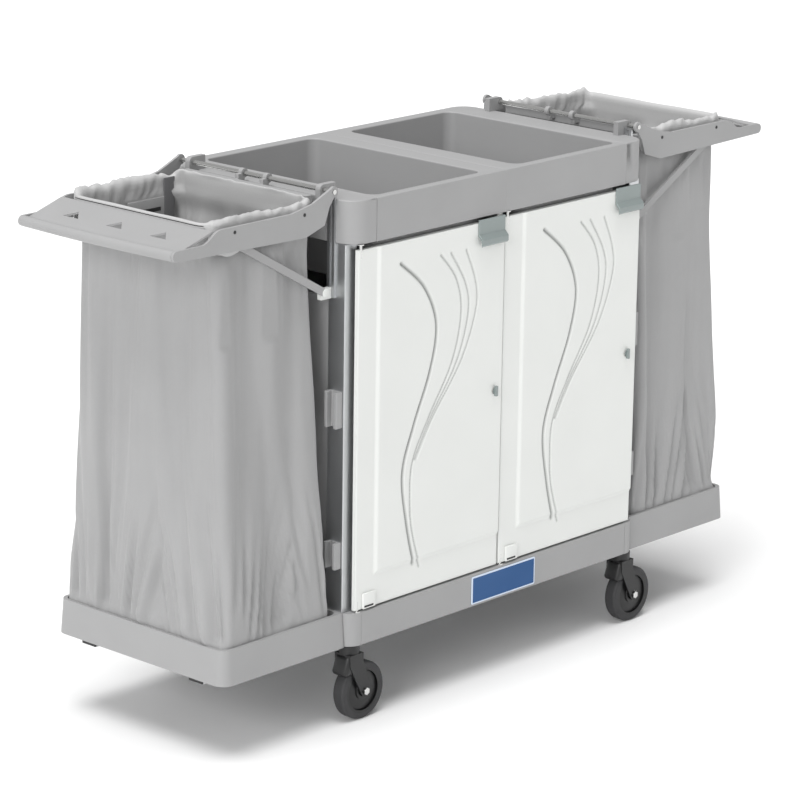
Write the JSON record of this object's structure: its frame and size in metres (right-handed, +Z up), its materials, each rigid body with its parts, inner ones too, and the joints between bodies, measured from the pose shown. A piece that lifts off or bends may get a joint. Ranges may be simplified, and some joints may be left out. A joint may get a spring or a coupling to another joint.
{
  "type": "housekeeping cart",
  "caption": "Wheeled housekeeping cart: a cupboard with doors under a deck with wells, and a tray with an open fabric bag on a fold-up frame at each end.",
  "frame": {"origin": "on the floor under the middle of the cart's overall box", "axes": "+Z up, X along the cart's length between the bags, doors face -Y"},
  "size_m": [1.864, 0.552, 1.135],
  "materials": {
    "grey_plastic": "light grey moulded plastic, fine satin texture",
    "white_plastic": "off-white moulded plastic, satin",
    "clip_plastic": "smooth grey-green plastic",
    "black_plastic": "black nylon",
    "post_aluminium": "anodised, satin",
    "plated_steel": "zinc plated",
    "tyre_rubber": "dark grey non-marking rubber",
    "label_plate": "plain blue plate with a pale border and no lettering",
    "bag_fabric": "grey coated woven cloth"
  },
  "bodies": {
    "chassis": {"base_frame": "grey_plastic", "base_corners": "grey_plastic", "tray_rails": "post_aluminium", "rail_caps": "black_plastic", "corner_posts": "post_aluminium", "centre_divider": "white_plastic", "door_pins": "plated_steel", "lock_strikers": "plated_steel", "strut_guides": "post_aluminium", "castor_heads": "plated_steel", "label_plate": "label_plate", "back_panels": "white_plastic", "shelves": "white_plastic", "hinge_rods": "plated_steel", "rod_clips": "grey_plastic", "side_hooks": "grey_plastic", "tray_left": "grey_plastic", "tray_right": "grey_plastic", "side_panel_left": "grey_plastic", "side_panel_right": "grey_plastic", "deck_left": "grey_plastic", "deck_right": "grey_plastic", "deck_end_left": "grey_plastic", "deck_end_right": "grey_plastic"},
    "door_left": {"door_left": "white_plastic", "door_handle_left": "clip_plastic", "lock_barrel_left": "plated_steel"},
    "lock_left": {"lock_knob_left": "clip_plastic"},
    "door_right": {"door_right": "white_plastic", "door_handle_right": "clip_plastic", "lock_barrel_right": "plated_steel"},
    "lock_right": {"lock_knob_right": "clip_plastic"},
    "frame_left": {"frame_arms_left": "grey_plastic", "push_bar_left": "grey_plastic", "cross_plate_left": "grey_plastic", "bag_ring_left": "grey_plastic", "inner_beam_left": "grey_plastic", "bag_left": "bag_fabric"},
    "strut_pair_left": {"struts_left": "grey_plastic"},
    "shoe_pair_left": {"strut_shoes_left": "white_plastic"},
    "frame_right": {"frame_arms_right": "grey_plastic", "push_bar_right": "grey_plastic", "cross_plate_right": "grey_plastic", "bag_ring_right": "grey_plastic", "inner_beam_right": "grey_plastic", "bag_right": "bag_fabric"},
    "strut_pair_right": {"struts_right": "grey_plastic"},
    "shoe_pair_right": {"strut_shoes_right": "white_plastic"},
    "castor_front_left": {"castor_fork_front_left": "black_plastic"},
    "wheel_front_left": {"castor_tyre_front_left": "tyre_rubber", "castor_hub_front_left": "black_plastic"},
    "castor_back_left": {"castor_fork_back_left": "black_plastic"},
    "wheel_back_left": {"castor_tyre_back_left": "tyre_rubber", "castor_hub_back_left": "black_plastic"},
    "castor_front_right": {"castor_fork_front_right": "black_plastic"},
    "wheel_front_right": {"castor_tyre_front_right": "tyre_rubber", "castor_hub_front_right": "black_plastic"},
    "castor_back_right": {"castor_fork_back_right": "black_plastic"},
    "wheel_back_right": {"castor_tyre_back_right": "tyre_rubber", "castor_hub_back_right": "black_plastic"}
  },
  "joints": [
    {"name": "door_left_hinge", "type": "hinge", "parent": "chassis", "child": "door_left", "pos_m": [-0.436, -0.255, 0.6235], "axis": [0, 0, -1], "range_deg": [0, 110]},
    {"name": "lock_left_turn", "type": "hinge", "parent": "door_left", "child": "lock_left", "pos_m": [-0.028, -0.255, 0.635], "axis": [0, -1, 0], "range_deg": [0, 90]},
    {"name": "door_right_hinge", "type": "hinge", "parent": "chassis", "child": "door_right", "pos_m": [0.011, -0.255, 0.6235], "axis": [0, 0, -1], "range_deg": [0, 110]},
    {"name": "lock_right_turn", "type": "hinge", "parent": "door_right", "child": "lock_right", "pos_m": [0.411, -0.255, 0.635], "axis": [0, -1, 0], "range_deg": [0, 90]},
    {"name": "bag_frame_left_fold", "type": "hinge", "parent": "chassis", "child": "frame_left", "pos_m": [-0.48, 0, 1.124], "axis": [0, 1, 0], "range_deg": [0, 90], "deforming": ["bag_left"]},
    {"name": "strut_left_turn", "type": "hinge", "parent": "frame_left", "child": "strut_pair_left", "pos_m": [-0.728, 0, 1.05], "axis": [0, 1, 0], "range_deg": [-43, 0]},
    {"name": "shoe_left_slide", "type": "slide", "parent": "chassis", "child": "shoe_pair_left", "axis": [0, 0, 1], "range_m": [0, 0.193]},
    {"name": "bag_frame_right_fold", "type": "hinge", "parent": "chassis", "child": "frame_right", "pos_m": [0.48, 0, 1.124], "axis": [0, -1, 0], "range_deg": [0, 90], "deforming": ["bag_right"]},
    {"name": "strut_right_turn", "type": "hinge", "parent": "frame_right", "child": "strut_pair_right", "pos_m": [0.728, 0, 1.05], "axis": [0, -1, 0], "range_deg": [-43, 0]},
    {"name": "shoe_right_slide", "type": "slide", "parent": "chassis", "child": "shoe_pair_right", "axis": [0, 0, 1], "range_m": [0, 0.193]},
    {"name": "castor_front_left_swivel", "type": "hinge", "parent": "chassis", "child": "castor_front_left", "pos_m": [-0.441, -0.24, 0.15], "axis": [0, 0, 1], "continuous": true},
    {"name": "wheel_front_left_spin", "type": "hinge", "parent": "castor_front_left", "child": "wheel_front_left", "pos_m": [-0.413, -0.24, 0.0625], "axis": [0, 1, 0], "continuous": true},
    {"name": "castor_back_left_swivel", "type": "hinge", "parent": "chassis", "child": "castor_back_left", "pos_m": [-0.441, 0.249, 0.15], "axis": [0, 0, 1], "continuous": true},
    {"name": "wheel_back_left_spin", "type": "hinge", "parent": "castor_back_left", "child": "wheel_back_left", "pos_m": [-0.413, 0.249, 0.0625], "axis": [0, 1, 0], "continuous": true},
    {"name": "castor_front_right_swivel", "type": "hinge", "parent": "chassis", "child": "castor_front_right", "pos_m": [0.441, -0.24, 0.15], "axis": [0, 0, 1], "continuous": true},
    {"name": "wheel_front_right_spin", "type": "hinge", "parent": "castor_front_right", "child": "wheel_front_right", "pos_m": [0.469, -0.24, 0.0625], "axis": [0, 1, 0], "continuous": true},
    {"name": "castor_back_right_swivel", "type": "hinge", "parent": "chassis", "child": "castor_back_right", "pos_m": [0.441, 0.249, 0.15], "axis": [0, 0, 1], "continuous": true},
    {"name": "wheel_back_right_spin", "type": "hinge", "parent": "castor_back_right", "child": "wheel_back_right", "pos_m": [0.469, 0.249, 0.0625], "axis": [0, 1, 0], "continuous": true}
  ],
  "couplings": [
    {"joint": "strut_left_turn", "follows": "bag_frame_left_fold", "ratio": -0.47036},
    {"joint": "shoe_left_slide", "follows": "bag_frame_left_fold", "m_per_rad": 0.12231},
    {"joint": "strut_right_turn", "follows": "bag_frame_right_fold", "ratio": -0.47036},
    {"joint": "shoe_right_slide", "follows": "bag_frame_right_fold", "m_per_rad": 0.12231}
  ]
}
